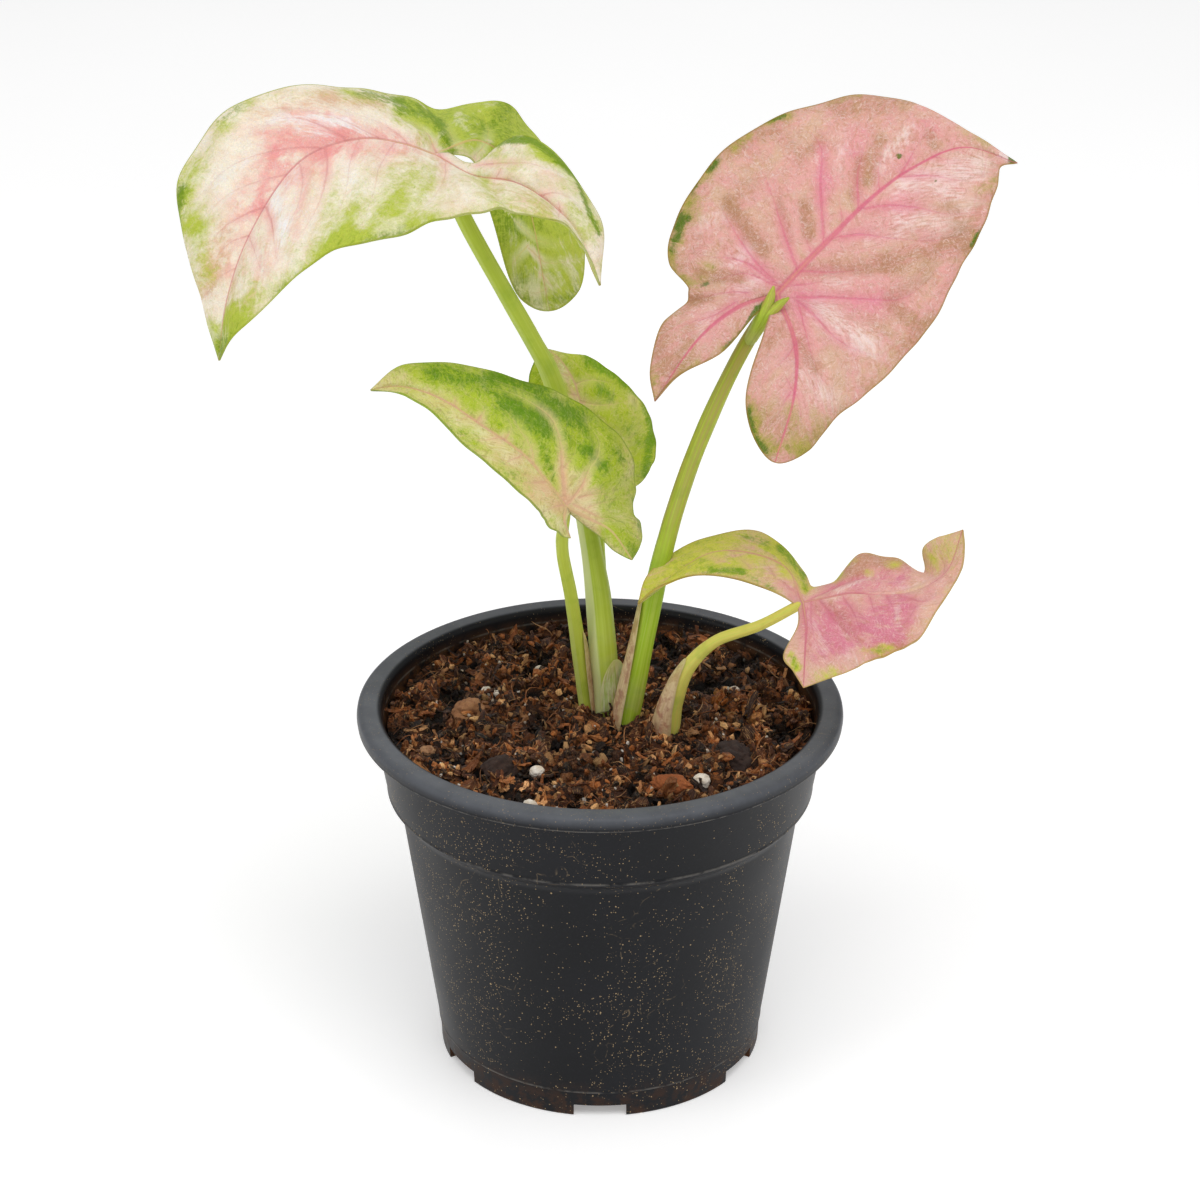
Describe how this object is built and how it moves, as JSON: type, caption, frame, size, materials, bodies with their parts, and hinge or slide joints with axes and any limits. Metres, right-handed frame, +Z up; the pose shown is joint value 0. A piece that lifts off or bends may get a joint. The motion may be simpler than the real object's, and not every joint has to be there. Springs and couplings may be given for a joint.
{
  "type": "potted arrowhead vine",
  "caption": "Young pink syngonium in a round plastic nursery pot with a rolled rim, arrow-shaped leaves on slim stalks rising from potting mix.",
  "frame": {"origin": "the pot's axis where it meets the standing plane", "axes": "+Z up along the pot's axis, +X to the right and -Y toward the viewer as the plant was shown"},
  "size_m": [0.1925, 0.12, 0.2479],
  "materials": {
    "pot_plastic": "satin",
    "potting_mix": "coarse, damp",
    "bark": "rough",
    "perlite": "rough",
    "stalk_green": "waxy",
    "leaf_cream_pink": "satin, mottled green on cream and pink",
    "leaf_mottled_green": "satin, mottled green with cream veins",
    "leaf_dusty_pink": "satin, darker pink veins",
    "leaf_rose_pink": "satin"
  },
  "bodies": {
    "root": {"nursery_pot": "pot_plastic", "potting_mix": "potting_mix", "stems_and_roots": "stalk_green", "leaf_blade_large_left": "leaf_cream_pink", "leaf_blade_middle": "leaf_mottled_green", "leaf_blade_large_right": "leaf_dusty_pink", "leaf_blade_curled_right": "leaf_rose_pink", "leaf_blade_back": "leaf_mottled_green", "bark_chunk_1": "bark", "bark_chunk_2": "bark", "bark_chunk_3": "bark", "bark_chunk_4": "bark", "bark_chunk_5": "bark", "perlite_grain_1": "perlite", "perlite_grain_2": "perlite", "perlite_grain_3": "perlite", "perlite_grain_4": "perlite", "perlite_grain_5": "perlite", "perlite_grain_6": "perlite", "perlite_grain_7": "perlite", "perlite_grain_8": "perlite"}
  },
  "joints": []
}
